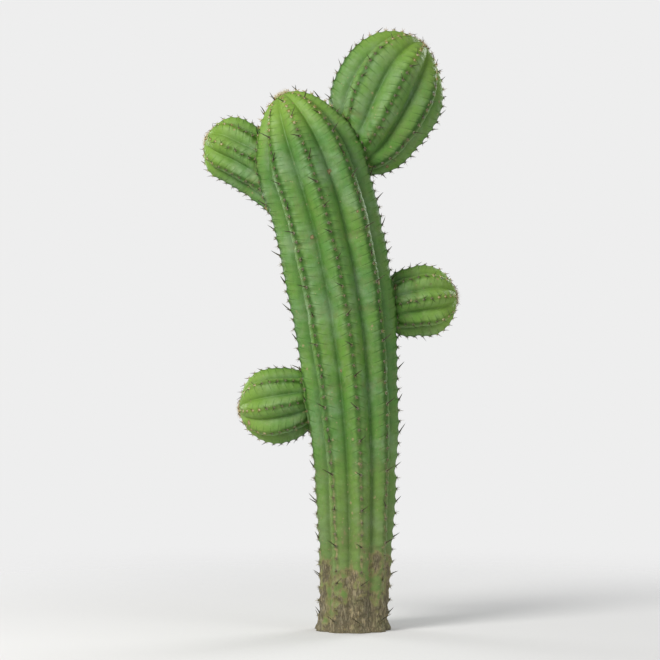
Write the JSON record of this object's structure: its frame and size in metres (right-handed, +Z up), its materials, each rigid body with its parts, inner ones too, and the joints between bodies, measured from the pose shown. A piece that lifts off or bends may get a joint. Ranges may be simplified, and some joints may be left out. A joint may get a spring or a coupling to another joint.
{
  "type": "columnar cactus",
  "caption": "Tree-like columnar cactus rooted in the ground: a leaning, ribbed, spiny stem with short knob-like arms on both sides.",
  "frame": {"origin": "centre of the flat cut under the stem, at ground level", "axes": "+Z up, +X to the viewer's right in the picture, -Y towards the viewer"},
  "size_m": [1.5776, 0.9192, 3.6398],
  "materials": {
    "stem_skin": "waxy green skin, corky at the foot",
    "arm_skin": "waxy green skin",
    "spines": "dry, hard, dull",
    "areole_wool": "short matted wool"
  },
  "bodies": {
    "root": {"stem": "stem_skin", "upper_right_arm": "arm_skin", "upper_left_arm": "arm_skin", "middle_right_arm": "arm_skin", "lower_left_arm": "arm_skin"}
  },
  "joints": []
}
